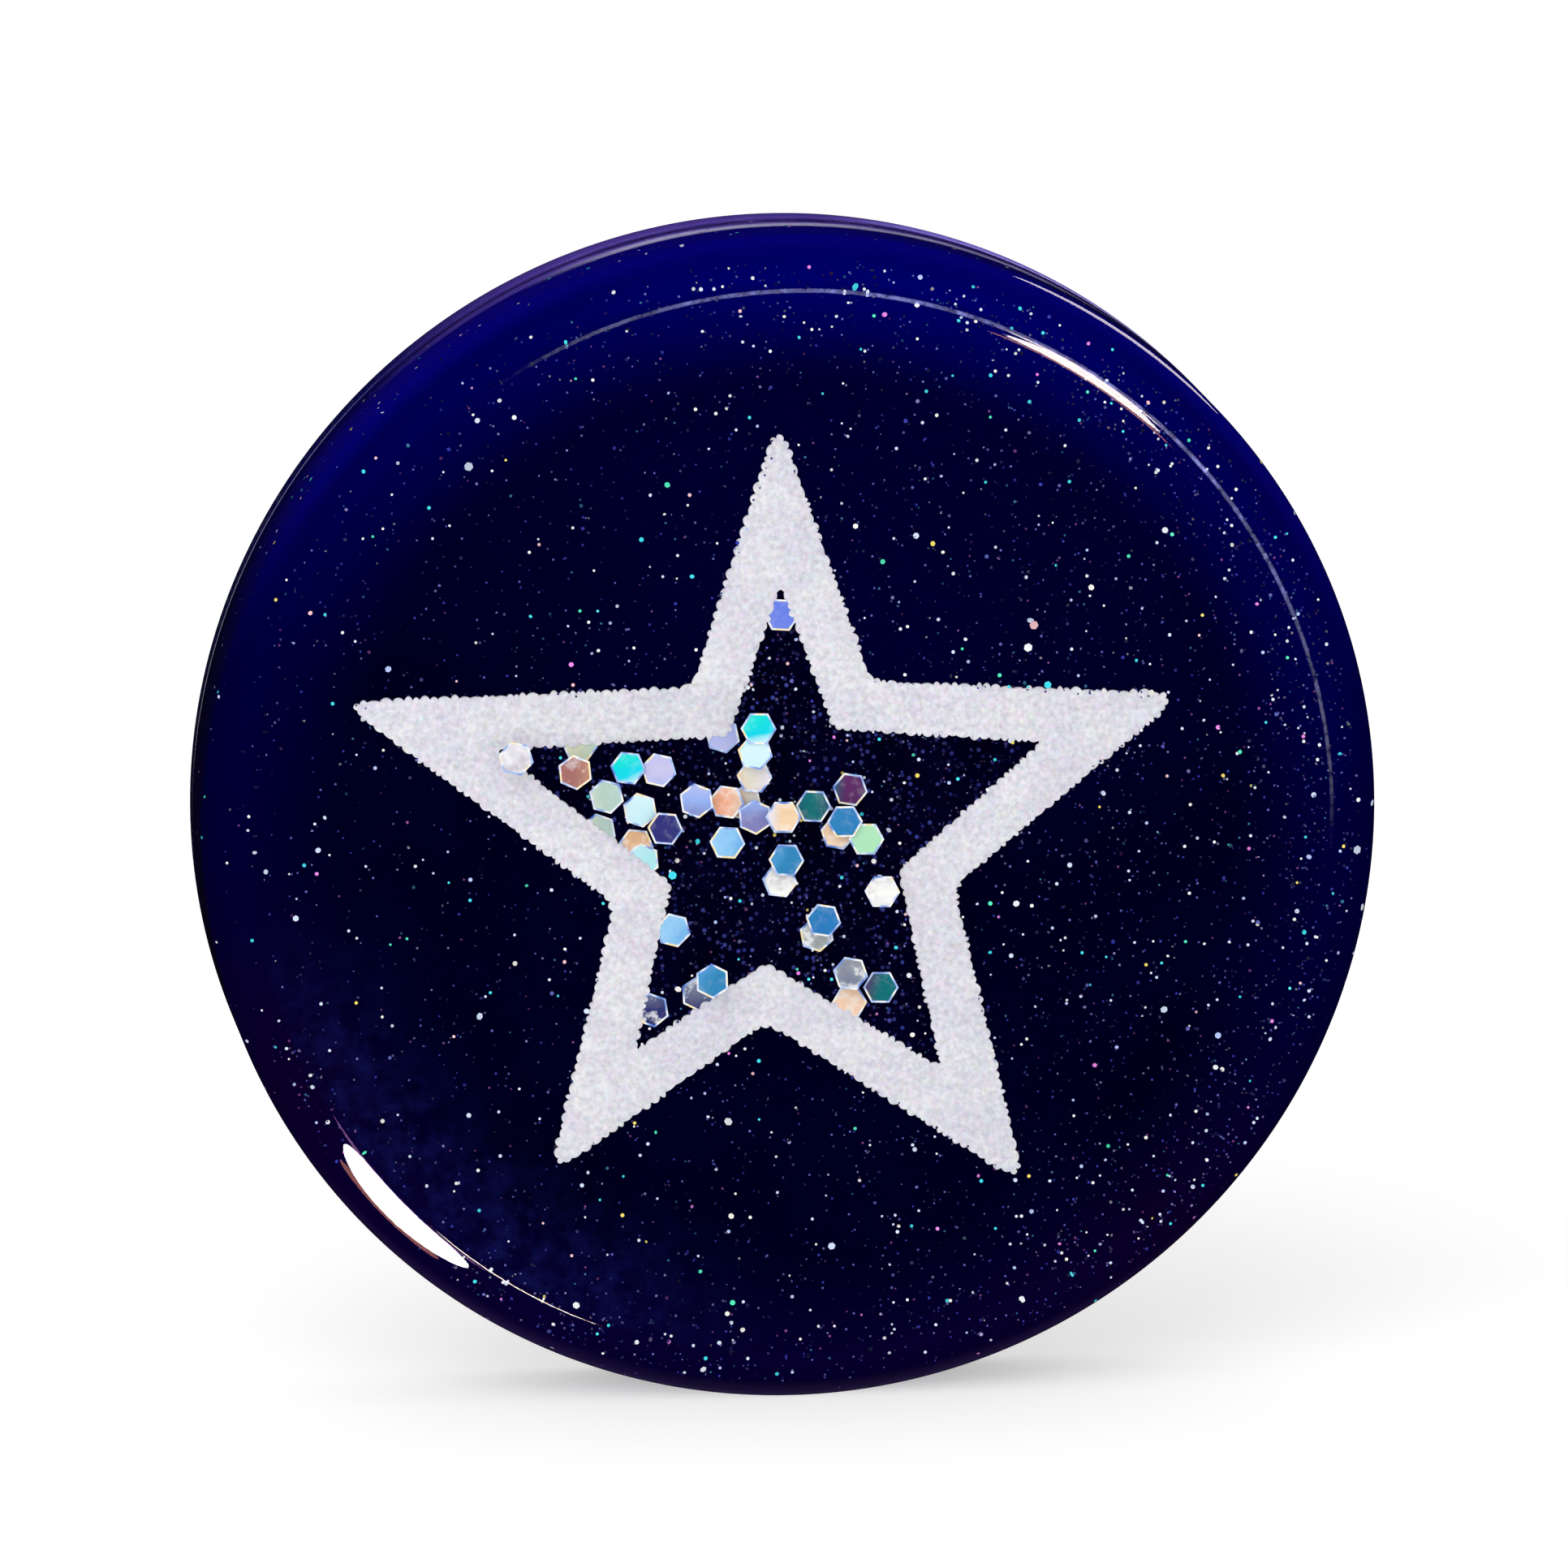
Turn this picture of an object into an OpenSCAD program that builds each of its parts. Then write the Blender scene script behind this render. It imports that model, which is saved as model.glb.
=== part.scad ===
// Cast resin badge with a glitter star, worn upright on a brooch bar pin.
// Origin: centre of the resin disc, on its back face, where the garment's side begins.
// The flat front looks along -Y, the star's top point is along +Z, and +X is the viewer's right.

/* [Badge] */
// Outer diameter of the resin disc
badge_d = 38; // [32:1:58]
// Thickness of the resin disc, front to back
badge_t = 6.5; // [5.5:0.1:9]
// Radius that rounds the front edge
shoulder_r = 1.6; // [0.8:0.1:2]
// Radius that rounds the back edge
back_edge_r = 0.4; // [0.2:0.05:0.6]
// Thickness of the clear pour over the star
coat_t = 1.0; // [0.9:0.1:1.2]
// Thickness of the opaque pour at the back
base_t = 1.4; // [0.8:0.1:2]

/* [Star] */
// Width of the white outline
stroke_w = 1.65; // [1:0.05:1.8]
// Thickness of the white outline
outline_t = 0.3; // [0.2:0.05:0.5]
// Depth of the glitter resin inside the outline
fill_t = 1.5; // [0.8:0.1:2]

/* [Sequins and flakes] */
// Width of a sequin, across its flats
sequin_w = 1.0; // [0.8:0.05:1.1]
// Thickness of a sequin
sequin_t = 0.05; // [0.03:0.01:0.06]
// Width of a loose flake, across its flats
flake_w = 0.35; // [0.2:0.05:0.5]
// How many loose flakes there are
flakes = 90; // [30:3:120]

/* [Bar pin] */
// Length of the metal strip
bar_l = 25; // [22:1:28]
// Width of the metal strip
bar_w = 5; // [4.4:0.1:6]
// Thickness of the metal strip
bar_t = 0.6; // [0.4:0.1:0.8]
// Height of the strip above the badge's centre
bar_z = 5; // [0:0.5:8]
// Thickness of the epoxy under the strip
glue_t = 0.4; // [0.2:0.1:0.5]
// Height of the pin's axis over the badge's back
stem_y = 3.6; // [3.5:0.1:4]
// Radius of the pin
stem_r = 0.4; // [0.3:0.05:0.4]

/* [Hidden] */
$fn = 64;

badge_r = badge_d / 2;
front_y = -badge_t;
coat_y = front_y + coat_t;
base_y = -base_t;
past = 1; // how far a cutting solid runs past what it cuts

// The star is drawn for a badge of this radius, in (X, Z), anticlockwise from its top point
drawn_r = 19;
star_scale = badge_r / drawn_r;
star_points = star_scale * [
    [-0.5, 12.6], [-3.3, 4.5], [-14.1, 4.1], [-5.8, -2.5], [-7.6, -10.9],
    [-0.9, -6.5], [7.2, -11.6], [5.2, -2.2], [12.1, 3.8], [2.5, 4.6]
];

// Each sequin is [X, Z, layer under the surface, turn in degrees]
cyan_sequins = [[-5.4, 2.0, 1, 8], [-1.2, 3.2, 0, 2], [-5.0, 0.6, 3, 20],
    [-1.3, 2.4, 1, 12], [-4.9, -1.1, 2, 25]];
blue_sequins = [[-2.2, -0.5, 1, 5], [1.6, 0.1, 1, 0], [-0.3, -1.1, 0, 3],
    [0.9, -3.1, 0, 10], [-3.9, -3.4, 2, 15], [-2.7, -5.0, 0, 28]];
lavender_sequins = [[-0.4, 6.8, 1, 4], [-4.4, 1.9, 2, 14], [-3.2, 0.9, 0, 22],
    [-2.3, 2.9, 3, 18], [-1.3, 0.3, 2, 26]];
mint_sequins = [[-6.9, 2.7, 4, 6], [-6.1, 1.1, 0, 16], [2.3, -0.5, 2, 2], [-6.3, -0.1, 3, 20]];
peach_sequins = [[-7.1, 1.9, 1, 24], [-2.2, 0.8, 3, 9], [-1.6, 0.7, 5, 17], [-0.4, 0.3, 0, 1],
    [1.4, -0.3, 4, 12], [-5.1, -0.6, 4, 7], [1.8, -5.9, 1, 0], [-1.3, 1.6, 4, 5]];
clear_sequins = [[-9.0, 2.4, 0, 13], [-0.5, -1.8, 2, 8], [2.8, -2.2, 0, 3], [0.7, -3.6, 3, 19],
    [-3.1, -5.5, 2, 27], [1.8, -4.9, 3, 11], [-4.6, -6.0, 1, 21]];
dark_sequins = [[0.6, 0.6, 3, 4], [1.8, 1.1, 5, 10], [-4.2, 0.0, 1, 6], [2.8, -5.4, 5, 2]];
first_layer = 0.2;
layer_pitch = 0.1;

// Loose flakes lie on a sunflower spiral outside the sequins
flake_t = 0.05;
flake_in = 10.4 * star_scale;
flake_out = badge_r - shoulder_r - flake_w;
golden_angle = 137.508;
flake_tilt = 14;
flake_depth = coat_t / 2;
flake_spread = coat_t / 4;
coloured_every = 3;

// Bar pin
bar_y = glue_t;
bar_top = bar_y + bar_t;
bar_hole_r = 1;
bar_hole_x = 4;
glue_margin = 0.5;
plug_head_r = 1.3;
plug_head_h = 0.25;
foot_t = 0.4;
running_gap = 0.05;

hinge_x = -bar_l / 2 + 2;
rivet_r = 0.45;
rivet_head_r = 0.8;
rivet_head_t = 0.35;
eye_r = 1.1;
eye_w = 1.1;
ear_gap = eye_w + 0.2;
ear_t = 0.45;
ear_r = 1.2;
root_w = 0.9;
root_l = 2;

catch_l = 2.4;
catch_x = bar_l / 2 - 0.7 - catch_l;
housing_r = 1.75;
housing_bore_r = 1.3;
housing_slot_w = 1.5;
post_w = 1.6;
rotor_r = housing_bore_r - running_gap;
rotor_bore_r = 0.65;
rotor_slot_w = 1.15;
flange_r = 1.6;
flange_t = 0.25;
flange_gap = 0.15;
tab_l = 3;
tab_w = 1.1;
tab_t = 0.45;
tab_turn = -70; // from +Y, positive towards +Z
tip_r = 0.08;
taper_x = catch_x - flange_t - flange_gap - 0.8;
tip_x = catch_x + catch_l + flange_gap + tab_t + 0.2;

resin_clear = [0.25, 0.3, 0.75, 0.35];
resin_navy = [0.02, 0.02, 0.4];
resin_dark = [0.01, 0.01, 0.06];
steel = [0.75, 0.76, 0.78];

// ---- Helpers ----

// Extrudes a shape drawn in (X, Z) from y0 to y1
module plate(y0, y1) {
    rotate([90, 0, 0]) translate([0, 0, -y1]) linear_extrude(height = y1 - y0) children();
}

// A cylinder along Y, X or Z, from its low end
module rod_y(r, l) {
    rotate([-90, 0, 0]) cylinder(r = r, h = l);
}

module rod_x(r, l) {
    rotate([0, 90, 0]) cylinder(r = r, h = l);
}

// The disc's half section, in (radius, Y)
module disc_profile() {
    translate([0, front_y]) square([badge_r - shoulder_r, badge_t]);
    translate([0, front_y + shoulder_r]) square([badge_r, badge_t - shoulder_r - back_edge_r]);
    translate([0, -back_edge_r]) square([badge_r - back_edge_r, back_edge_r]);
    translate([badge_r - shoulder_r, front_y + shoulder_r]) circle(shoulder_r);
    translate([badge_r - back_edge_r, -back_edge_r]) circle(back_edge_r);
}

// The part of the disc between two depths
module disc_layer(y0, y1) {
    rotate([-90, 0, 0]) rotate_extrude($fn = 128) intersection() {
        disc_profile();
        translate([0, y0]) square([badge_r, y1 - y0]);
    }
}

function unit(v) = v / norm(v);

// An anticlockwise outline moved inwards by w, with mitred corners
function inset(points, w) = [
    for (i = [0:len(points) - 1])
        let (
            before = points[(i + len(points) - 1) % len(points)],
            here = points[i],
            after = points[(i + 1) % len(points)],
            u = unit(here - before),
            v = unit(after - here),
            nu = [-u.y, u.x],
            nv = [-v.y, v.x]
        )
        here + w * (nu + nv) / (1 + nu * nv)
];

module star() {
    polygon(star_points);
}

module inner_star() {
    polygon(inset(star_points, stroke_w));
}

module sequins(places) {
    for (p = places) {
        y = front_y + first_layer + layer_pitch * p[2];
        translate([p[0] * star_scale, y, p[1] * star_scale]) rotate([0, p[3], 0])
            rotate([-90, 0, 0]) cylinder(r = sequin_w / sqrt(3), h = sequin_t, $fn = 6);
    }
}

// Loose flakes whose number leaves the given remainders when divided by coloured_every
module flake_group(remainders) {
    for (i = [0:flakes - 1], k = remainders) if (i % coloured_every == k) {
        share = (i + 0.5) / flakes;
        r = sqrt(pow(flake_in, 2) + share * (pow(flake_out, 2) - pow(flake_in, 2)));
        y = front_y + flake_depth + flake_spread * sin(i * 97);
        rotate([0, i * golden_angle, 0]) translate([r, y, 0])
            rotate([flake_tilt * sin(i * 61), 0, flake_tilt * cos(i * 43)])
                rotate([-90, 0, 0]) cylinder(r = flake_w / sqrt(3), h = flake_t, center = true, $fn = 6);
    }
}

// A strip with round ends, drawn in (X, Z) about the bar's middle
module strip(l, w) {
    translate([-(l - w) / 2, bar_z - w / 2]) square([l - w, w]);
    for (side = [-1, 1]) translate([side * (l - w) / 2, bar_z]) circle(w / 2);
}

module bar_holes() {
    for (side = [-1, 1]) translate([side * bar_hole_x, bar_z]) circle(bar_hole_r);
}

// ---- Resin ----

module face_coat() {
    color(resin_clear) disc_layer(front_y, coat_y);
}

module navy_casting() {
    color(resin_navy) difference() {
        disc_layer(coat_y, base_y);
        plate(coat_y - past, coat_y + outline_t) star();
        plate(coat_y - past, coat_y + fill_t) inner_star();
    }
}

module dark_base() {
    color(resin_dark) disc_layer(base_y, 0);
}

// ---- Star and what floats in it ----

module star_outline() {
    color([0.87, 0.86, 0.9]) plate(coat_y, coat_y + outline_t) difference() {
        star();
        inner_star();
    }
}

module star_fill() {
    color([0.02, 0.01, 0.1]) plate(coat_y, coat_y + fill_t) inner_star();
}

module sequins_cyan() {
    color([0.1, 0.85, 0.95]) sequins(cyan_sequins);
}

module sequins_blue() {
    color([0.25, 0.5, 0.9]) sequins(blue_sequins);
}

module sequins_lavender() {
    color([0.6, 0.62, 0.95]) sequins(lavender_sequins);
}

module sequins_mint() {
    color([0.65, 0.9, 0.78]) sequins(mint_sequins);
}

module sequins_peach() {
    color([0.98, 0.78, 0.6]) sequins(peach_sequins);
}

module sequins_clear() {
    color([0.9, 0.92, 0.92]) sequins(clear_sequins);
}

module sequins_dark() {
    color([0.12, 0.25, 0.4]) sequins(dark_sequins);
}

module glitter_silver() {
    color([0.85, 0.88, 1]) flake_group([1, 2]);
}

module glitter_colour() {
    color([0.3, 0.9, 0.9]) flake_group([0]);
}

// ---- Bar pin ----

// The epoxy runs out a little round the strip and heads over in its holes
module adhesive_bed() {
    cap_r = (pow(plug_head_r, 2) + pow(plug_head_h, 2)) / (2 * plug_head_h);
    color([0.85, 0.8, 0.62]) {
        plate(0, glue_t) strip(bar_l + 2 * glue_margin, bar_w + 2 * glue_margin);
        plate(glue_t, bar_top) bar_holes();
        for (side = [-1, 1]) intersection() {
            translate([side * bar_hole_x, bar_top, bar_z]) rod_y(plug_head_r, plug_head_h);
            translate([side * bar_hole_x, bar_top + plug_head_h - cap_r, bar_z]) sphere(cap_r);
        }
    }
}

module pin_bar() {
    color(steel) plate(bar_y, bar_top) difference() {
        strip(bar_l, bar_w);
        bar_holes();
    }
}

// A U bracket: a foot on the strip and two ears that the rivet goes through
module hinge_joint() {
    foot_w = ear_gap + 2 * ear_t;
    color(steel) difference() {
        union() {
            translate([hinge_x - ear_r, bar_top, bar_z - foot_w / 2]) cube([2 * ear_r, foot_t, foot_w]);
            for (z = [-foot_w / 2, ear_gap / 2]) translate([hinge_x, 0, bar_z + z]) {
                translate([-ear_r, bar_top, 0]) cube([2 * ear_r, stem_y - bar_top, ear_t]);
                translate([0, stem_y, 0]) cylinder(r = ear_r, h = ear_t);
            }
        }
        translate([hinge_x, stem_y, bar_z - foot_w]) cylinder(r = rivet_r, h = 2 * foot_w);
    }
}

module hinge_rivet() {
    shank_l = ear_gap + 2 * ear_t;
    color([0.6, 0.6, 0.62]) translate([hinge_x, stem_y, bar_z]) {
        cylinder(r = rivet_r, h = shank_l, center = true);
        for (turn = [0, 180]) rotate([turn, 0, 0]) translate([0, 0, shank_l / 2])
            cylinder(r1 = rivet_head_r, r2 = rivet_r, h = rivet_head_t);
    }
}

// A straight pin with an eye on a squared neck at one end and a long point at the other
module pin_stem() {
    color([0.82, 0.83, 0.85]) translate([0, stem_y, bar_z]) difference() {
        union() {
            translate([hinge_x, 0, 0]) cylinder(r = eye_r, h = eye_w, center = true);
            translate([hinge_x, -root_w / 2, -root_w / 2]) cube([root_l, root_w, root_w]);
            translate([hinge_x, 0, 0]) rod_x(stem_r, taper_x - hinge_x);
            translate([taper_x, 0, 0]) rotate([0, 90, 0])
                cylinder(r1 = stem_r, r2 = tip_r, h = tip_x - taper_x);
        }
        translate([hinge_x, 0, 0])
            cylinder(r = rivet_r + running_gap, h = 2 * eye_w, center = true);
    }
}

// A C-shaped tube on a foot, open away from the badge
module catch_housing() {
    foot_over = 0.2;
    color(steel) translate([catch_x, 0, bar_z]) {
        translate([-foot_over, bar_top, -housing_r])
            cube([catch_l + 2 * foot_over, foot_t, 2 * housing_r]);
        difference() {
            union() {
                translate([0, stem_y, 0]) rod_x(housing_r, catch_l);
                translate([0, bar_top, -post_w / 2]) cube([catch_l, stem_y - bar_top, post_w]);
            }
            translate([-past, stem_y, 0]) rod_x(housing_bore_r, catch_l + 2 * past);
            translate([-past, stem_y, -housing_slot_w / 2])
                cube([catch_l + 2 * past, housing_r + past, housing_slot_w]);
        }
    }
}

// The safety sleeve: a slotted tube held by a flange at each end, turned by its tab
module catch_rotor() {
    in_x = catch_x - flange_gap - flange_t;
    out_x = catch_x + catch_l + flange_gap;
    color([0.7, 0.71, 0.74]) translate([0, stem_y, bar_z]) difference() {
        union() {
            translate([in_x, 0, 0]) rod_x(rotor_r, out_x + tab_t - in_x);
            translate([in_x, 0, 0]) rod_x(flange_r, flange_t);
            translate([out_x, 0, 0]) rod_x(flange_r, tab_t);
            translate([out_x, 0, 0]) rotate([tab_turn, 0, 0]) {
                translate([0, 0, -tab_w / 2]) cube([tab_t, tab_l - tab_w / 2, tab_w]);
                translate([0, tab_l - tab_w / 2, 0]) rod_x(tab_w / 2, tab_t);
            }
        }
        translate([in_x - past, 0, 0]) rod_x(rotor_bore_r, out_x - in_x + tab_t + 2 * past);
        translate([in_x - past, 0, -rotor_slot_w / 2])
            cube([out_x - in_x + tab_t + 2 * past, flange_r + past, rotor_slot_w]);
    }
}

face_coat();
navy_casting();
dark_base();
star_outline();
star_fill();
sequins_cyan();
sequins_blue();
sequins_lavender();
sequins_mint();
sequins_peach();
sequins_clear();
sequins_dark();
glitter_silver();
glitter_colour();
adhesive_bed();
pin_bar();
hinge_joint();
hinge_rivet();
pin_stem();
catch_housing();
catch_rotor();
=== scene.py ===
import math
import random

import bmesh
import bpy
from mathutils import Matrix, Vector


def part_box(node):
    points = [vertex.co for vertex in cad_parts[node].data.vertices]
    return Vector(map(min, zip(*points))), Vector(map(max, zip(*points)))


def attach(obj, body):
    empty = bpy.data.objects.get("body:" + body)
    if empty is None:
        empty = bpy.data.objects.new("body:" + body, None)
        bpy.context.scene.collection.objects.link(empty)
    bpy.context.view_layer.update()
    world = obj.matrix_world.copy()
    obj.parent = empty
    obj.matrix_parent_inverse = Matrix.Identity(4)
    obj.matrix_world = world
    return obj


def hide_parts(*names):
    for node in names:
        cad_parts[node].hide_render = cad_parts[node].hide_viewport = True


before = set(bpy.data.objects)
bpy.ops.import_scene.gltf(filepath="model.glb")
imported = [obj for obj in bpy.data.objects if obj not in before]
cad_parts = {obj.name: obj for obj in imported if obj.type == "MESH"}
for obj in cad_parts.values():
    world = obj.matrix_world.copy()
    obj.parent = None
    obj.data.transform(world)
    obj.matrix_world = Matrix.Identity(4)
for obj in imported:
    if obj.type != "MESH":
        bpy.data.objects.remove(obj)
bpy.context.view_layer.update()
scene = bpy.context.scene

# ---- Sizes, from the frame ----

MM = 0.001
coat_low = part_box("face_coat")[0]
casting_low, casting_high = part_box("navy_casting")
base_low, base_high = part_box("dark_base")
bar_low, bar_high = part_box("pin_bar")
glue_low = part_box("adhesive_bed")[0]

RADIUS = casting_high.x
FRONT_Y = coat_low.y
COAT_Y = casting_low.y  # where the clear coat meets the navy casting
BASE_Y = base_low.y  # where the navy casting meets the dark pour
BACK_Y = base_high.y
SHOULDER_R = 1.6 * MM
BACK_EDGE_R = 0.4 * MM
FLAT_R = RADIUS - SHOULDER_R  # the flat of the face, inside the rounded shoulder

SEAM = 0.02 * MM  # the gap between two pours
LIP_R = 0.07 * MM  # rounds the rims on both sides of that gap
CORE_Y = COAT_Y + 0.05 * MM  # the blue core's front
CORE_GAP = 0.8 * MM  # depth of clear resin over the blue core's side
CORE_R = RADIUS - CORE_GAP
RIDGE_IN = 0.03 * MM  # how far inside the flat's edge the ridge has its crest
AROUND = 288  # segments round the disc

OUTLINE_PROUD = 0.09 * MM  # how far the star's outline stands in front of the CAD model's
LEAST_UNDER, MOST_UNDER = 0.15, 0.65  # shares of a sequin's edge under the outline that tuck it in
WELD = 1e-7  # vertices nearer than this, in metres, are one


# ---- Mesh helpers ----

def new_object(name, data):
    """Adds an object to the scene."""
    made = bpy.data.objects.new(name, data)
    scene.collection.objects.link(made)
    return made


def add_object(name, mesh, materials):
    """Adds a mesh to the scene as an object with these materials."""
    made = new_object(name, mesh)
    for material in materials:
        mesh.materials.append(material)
    return made


def smooth(mesh, sharp_degrees):
    """Smooth shading, but for edges sharper than an angle."""
    mesh.shade_smooth()
    mesh.set_sharp_from_angle(angle=math.radians(sharp_degrees))


def from_bmesh(name, made, materials, sharp_degrees=35):
    """Turns a bmesh into a piece with outward normals."""
    bmesh.ops.recalc_face_normals(made, faces=made.faces)
    mesh = bpy.data.meshes.new(name)
    made.to_mesh(mesh)
    made.free()
    piece = add_object(name, mesh, materials)
    smooth(mesh, sharp_degrees)
    return piece


def arc(r, y, radius, start, end, steps):
    """Points (r, y) on an arc, with angles in degrees from +r towards +y."""
    turns = [math.radians(start + (end - start) * i / steps) for i in range(steps + 1)]
    return [(r + radius * math.cos(t), y + radius * math.sin(t)) for t in turns]


def revolve(name, profile, materials, around=AROUND):
    """A closed surface of revolution about Y. The profile runs from the axis back to the axis."""
    made = bmesh.new()
    turns = [2 * math.pi * i / around for i in range(around)]
    rings = []
    for r, y in profile:
        if r < 1e-9:
            rings.append([made.verts.new((0, y, 0))])
            continue
        rings.append([made.verts.new((r * math.cos(t), y, r * math.sin(t))) for t in turns])
    for low, high in zip(rings, rings[1:]):
        for i in range(around):
            j = (i + 1) % around
            corners = [low[i % len(low)], low[j % len(low)], high[j % len(high)], high[i % len(high)]]
            made.faces.new(dict.fromkeys(corners))
    return from_bmesh(name, made, materials)


def welded(mesh):
    """A mesh as a bmesh, with vertices that share a place joined."""
    made = bmesh.new()
    made.from_mesh(mesh)
    bmesh.ops.remove_doubles(made, verts=made.verts, dist=WELD)
    return made


def node_shape(node, degrees):
    """A CAD node as a bmesh, with flat neighbours within an angle joined to one face."""
    made = welded(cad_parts[node].data)
    angle = math.radians(degrees)
    bmesh.ops.dissolve_limit(made, angle_limit=angle, verts=made.verts, edges=made.edges)
    return made


def islands(node):
    """The corner points of each separate solid in a CAD node."""
    made = welded(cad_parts[node].data)
    left = dict.fromkeys(made.verts)  # unlike a set, in the same order each run
    found = []
    while left:
        waiting = [left.popitem()[0]]
        solid = []
        while waiting:
            here = waiting.pop()
            solid.append(here.co.copy())
            for edge in here.link_edges:
                there = edge.other_vert(here)
                if there in left:
                    del left[there]
                    waiting.append(there)
        found.append(solid)
    made.free()
    return sorted(found, key=lambda solid: tuple(sum(solid, Vector()) / len(solid)))


def front_loops(node):
    """The closed outlines (x, z) of a CAD node's flat front face, the longest first."""
    made = node_shape(node, 1)
    made.normal_update()
    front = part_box(node)[0].y
    rim = [
        edge for edge in made.edges
        if all(abs(v.co.y - front) < 1e-6 for v in edge.verts)
        and len({face.normal.y < -0.9 for face in edge.link_faces}) == 2
    ]
    loops = []
    while rim:
        start = rim.pop()
        loop = list(start.verts)
        while True:
            following = next((e for e in rim if loop[-1] in e.verts), None)
            if following is None:
                break
            rim.remove(following)
            loop.append(following.other_vert(loop[-1]))
        loops.append([Vector((v.co.x, v.co.z)) for v in loop[:-1]])
    made.free()
    loops = [loop if signed_area(loop) > 0 else loop[::-1] for loop in loops]
    return sorted(loops, key=signed_area, reverse=True)


def signed_area(loop):
    """The area in a closed outline, negative if the outline runs clockwise."""
    return sum(a.cross(b) for a, b in zip(loop, loop[1:] + loop[:1])) / 2


def inside(loop, x, z):
    """Whether a point lies in a closed outline."""
    crossings = 0
    for a, b in zip(loop, loop[1:] + loop[:1]):
        if (a.y > z) != (b.y > z) and x < a.x + (z - a.y) * (b.x - a.x) / (b.y - a.y):
            crossings += 1
    return crossings % 2 == 1


# ---- Material helpers ----

def add(tree, kind, inputs=None, **settings):
    """Adds a node. An input is a value, or another node's output socket."""
    made = tree.nodes.new("ShaderNode" + kind)
    for key, value in settings.items():
        setattr(made, key, value)
    for key, value in (inputs or {}).items():
        if isinstance(value, bpy.types.NodeSocket):
            tree.links.new(value, made.inputs[key])
        else:
            made.inputs[key].default_value = value
    return made


def new_material(name, **constants):
    """A material with one Principled shader, whose constant sockets are set here."""
    made = bpy.data.materials.new(name)
    made.use_nodes = True
    tree = made.node_tree
    shader = next(n for n in tree.nodes if n.type == "BSDF_PRINCIPLED")
    for key, value in constants.items():
        shader.inputs[key.replace("_", " ")].default_value = value
    return made, tree, shader


def place_in_mm(tree, stretch=(1, 1, 1)):
    """The point's place on its object in millimetres, stretched along each axis."""
    place = add(tree, "TexCoord").outputs["Object"]
    scale = tuple(s / MM for s in stretch)
    return add(tree, "VectorMath", {0: place, 1: scale}, operation="MULTIPLY").outputs[0]


def noise_of(tree, place, scale, detail=2.0, rough=0.5):
    """Smooth noise from 0 to 1 with the given number of features a millimetre."""
    inputs = {"Vector": place, "Scale": scale, "Detail": detail, "Roughness": rough}
    return add(tree, "TexNoise", inputs).outputs["Fac"]


def spread(tree, value, low, high, to_low=0.0, to_high=1.0, kind="LINEAR"):
    """Maps low..high to to_low..to_high, held at the ends."""
    inputs = {"Value": value, "From Min": low, "From Max": high, "To Min": to_low, "To Max": to_high}
    return add(tree, "MapRange", inputs, interpolation_type=kind).outputs["Result"]


def maths(tree, operation, a, b=0.0):
    """One sum; a and b are sockets or numbers."""
    return add(tree, "Math", {0: a, 1: b}, operation=operation).outputs[0]


def times(tree, product, *factors):
    for factor in factors:
        product = maths(tree, "MULTIPLY", product, factor)
    return product


def dot(tree, a, b):
    return add(tree, "VectorMath", {0: a, 1: b}, operation="DOT_PRODUCT").outputs["Value"]


def ease(tree, value, low, high):
    """Goes smoothly from 0 at low to 1 at high."""
    return spread(tree, value, low, high, kind="SMOOTHSTEP")


def ramp(tree, value, stops, kind="LINEAR"):
    """A colour ramp from (place, colour) stops."""
    made = add(tree, "ValToRGB", {"Fac": value})
    made.color_ramp.interpolation = kind
    elements = made.color_ramp.elements
    while len(elements) < len(stops):
        elements.new(1.0)
    for element, (at, colour) in zip(elements, stops):
        element.position = at
        element.color = (*colour, 1)
    return made.outputs["Color"]


def mix(tree, factor, a, b, blend="MIX"):
    """Mixes two colours; each is a socket or (r, g, b)."""
    a, b = (c if isinstance(c, bpy.types.NodeSocket) else (*c, 1) for c in (a, b))
    inputs = {0: factor, 6: a, 7: b}
    return add(tree, "Mix", inputs, data_type="RGBA", blend_type=blend).outputs[2]


def bump(shader, height, distance_mm, strength):
    """Fine relief that is too small for geometry."""
    inputs = {"Height": height, "Distance": distance_mm * MM, "Strength": strength}
    set_input(shader, "Normal", add(shader.id_data, "Bump", inputs).outputs["Normal"])


def set_input(shader, key, socket):
    """Feeds one of the shader's inputs from another node."""
    shader.id_data.links.new(socket, shader.inputs[key])


def disc_place(tree):
    """The distance from the disc's axis in mm, the unit direction away from it, and y in mm."""
    parts = add(tree, "SeparateXYZ", {"Vector": place_in_mm(tree)}).outputs
    flat = add(tree, "CombineXYZ", {"X": parts["X"], "Z": parts["Z"]}).outputs[0]
    away = add(tree, "VectorMath", {0: flat}, operation="LENGTH").outputs["Value"]
    unit = add(tree, "VectorMath", {0: flat}, operation="NORMALIZE").outputs[0]
    return away, unit, parts["Y"]


def towards(tree, unit, degrees):
    """How far the disc's unit direction points towards an angle, from -1 to 1."""
    aim = (math.cos(math.radians(degrees)), 0, math.sin(math.radians(degrees)))
    return dot(tree, unit, aim)


# ---- Resin materials ----

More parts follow.
